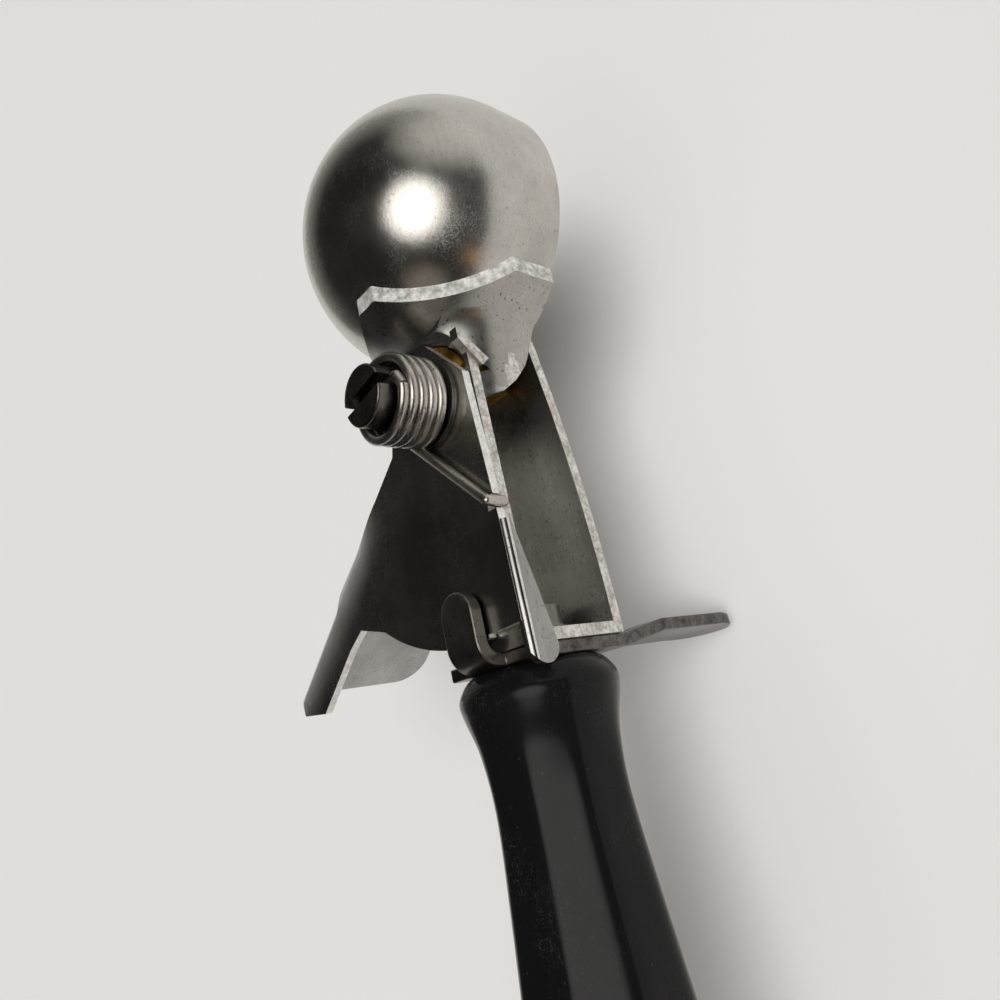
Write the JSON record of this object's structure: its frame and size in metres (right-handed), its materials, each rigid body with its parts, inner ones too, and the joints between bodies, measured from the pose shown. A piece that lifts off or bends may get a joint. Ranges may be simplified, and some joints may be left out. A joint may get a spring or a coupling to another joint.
{
  "type": "lever ice cream scoop",
  "caption": "Ice cream scoop with a thumb lever that turns a curved scraper blade inside a round metal bowl through bevel gears, on a black grip with a finger guard.",
  "frame": {"origin": "centre of the bowl sphere, on the scraper axis", "axes": "+X along the grip away from the bowl, +Z the back of the bowl and the side of the pivot stud, the mouth of the bowl faces -Z"},
  "size_m": [0.2252, 0.0967, 0.085],
  "materials": {
    "bowl_steel": "satin stainless, scratched",
    "frame_steel": "raw stainless sheet",
    "lever_steel": "dark polished stainless",
    "stud_steel": "dark oiled steel",
    "wire_steel": "drawn spring wire",
    "guard_steel": "aged stainless sheet",
    "gear_brass": "worn brass",
    "grip_black": "gloss black, scratched",
    "blade_steel": "satin stainless"
  },
  "bodies": {
    "frame": {"bowl": "bowl_steel", "shank_frame": "frame_steel", "pivot_stud": "stud_steel", "stud_nut": "stud_steel", "spring_washer": "stud_steel", "return_spring": "wire_steel", "shaft_bush": "gear_brass", "tail_bearing": "gear_brass", "front_rivet": "blade_steel", "front_washer": "blade_steel", "finger_guard": "guard_steel", "clamp_collar": "guard_steel", "clamp_nut": "guard_steel", "tie_rod": "stud_steel", "handle": "grip_black", "handle_insert": "gear_brass", "end_washer": "guard_steel", "end_nut": "guard_steel"},
    "lever": {"thumb_lever": "lever_steel", "gear_sector": "gear_brass", "sector_rivets": "lever_steel"},
    "scraper": {"scraper_blade": "blade_steel", "pinion_shaft": "gear_brass"}
  },
  "joints": [
    {"name": "lever_swing", "type": "hinge", "parent": "frame", "child": "lever", "pos_m": [0.0392, 0, 0], "axis": [0, 0, 1], "range_deg": [0, 35], "stiffness_Nm_per_rad": 0.25, "springref_deg": -20.05, "deforming": ["return_spring"]},
    {"name": "scraper_turn", "type": "hinge", "parent": "frame", "child": "scraper", "pos_m": [0, 0, 0], "axis": [1, 0, 0], "range_deg": [0, 150]}
  ],
  "couplings": [
    {"joint": "scraper_turn", "follows": "lever_swing", "ratio": 4.2857}
  ]
}
